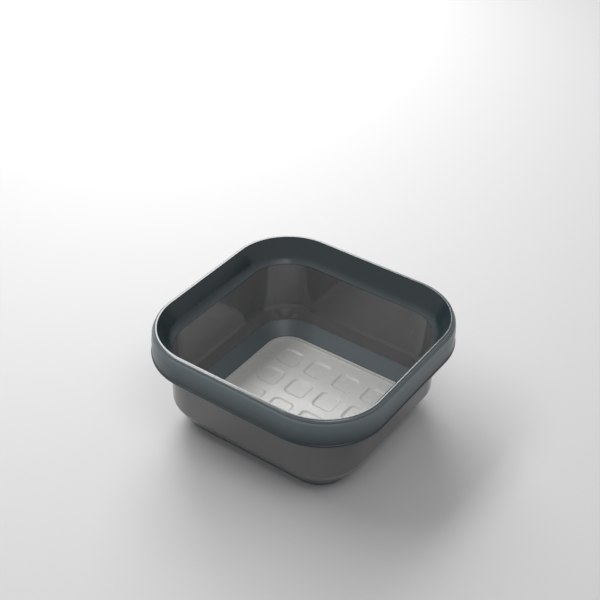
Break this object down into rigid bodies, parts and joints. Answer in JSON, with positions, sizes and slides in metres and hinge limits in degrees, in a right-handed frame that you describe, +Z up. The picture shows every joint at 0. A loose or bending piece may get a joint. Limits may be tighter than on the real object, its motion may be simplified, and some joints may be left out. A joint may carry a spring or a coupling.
{
  "type": "washing up bowl",
  "caption": "Square collapsible washing up bowl with rounded corners, a deep grip band round the rim, a flexible folding wall and a light floor with sunken squares.",
  "frame": {"origin": "centre of the standing face, under the middle of the bowl", "axes": "+Z up out of the bowl, +X along the slightly longer side, +Y along the shorter side"},
  "size_m": [0.32, 0.3134, 0.144],
  "materials": {
    "rim_plastic": "semi-gloss blue-grey",
    "wall_rubber": "smooth, shiny dark grey",
    "base_plastic": "semi-gloss blue-grey",
    "floor_plastic": "satin light grey"
  },
  "bodies": {
    "base": {"base_ring": "base_plastic", "floor_panel": "floor_plastic", "lower_wall": "wall_rubber"},
    "rim": {"rim_frame": "rim_plastic", "outer_band": "rim_plastic", "upper_wall": "wall_rubber"}
  },
  "joints": [
    {"name": "collapse_slide", "type": "slide", "parent": "base", "child": "rim", "axis": [0, 0, -1], "range_m": [0, 0.06]}
  ]
}
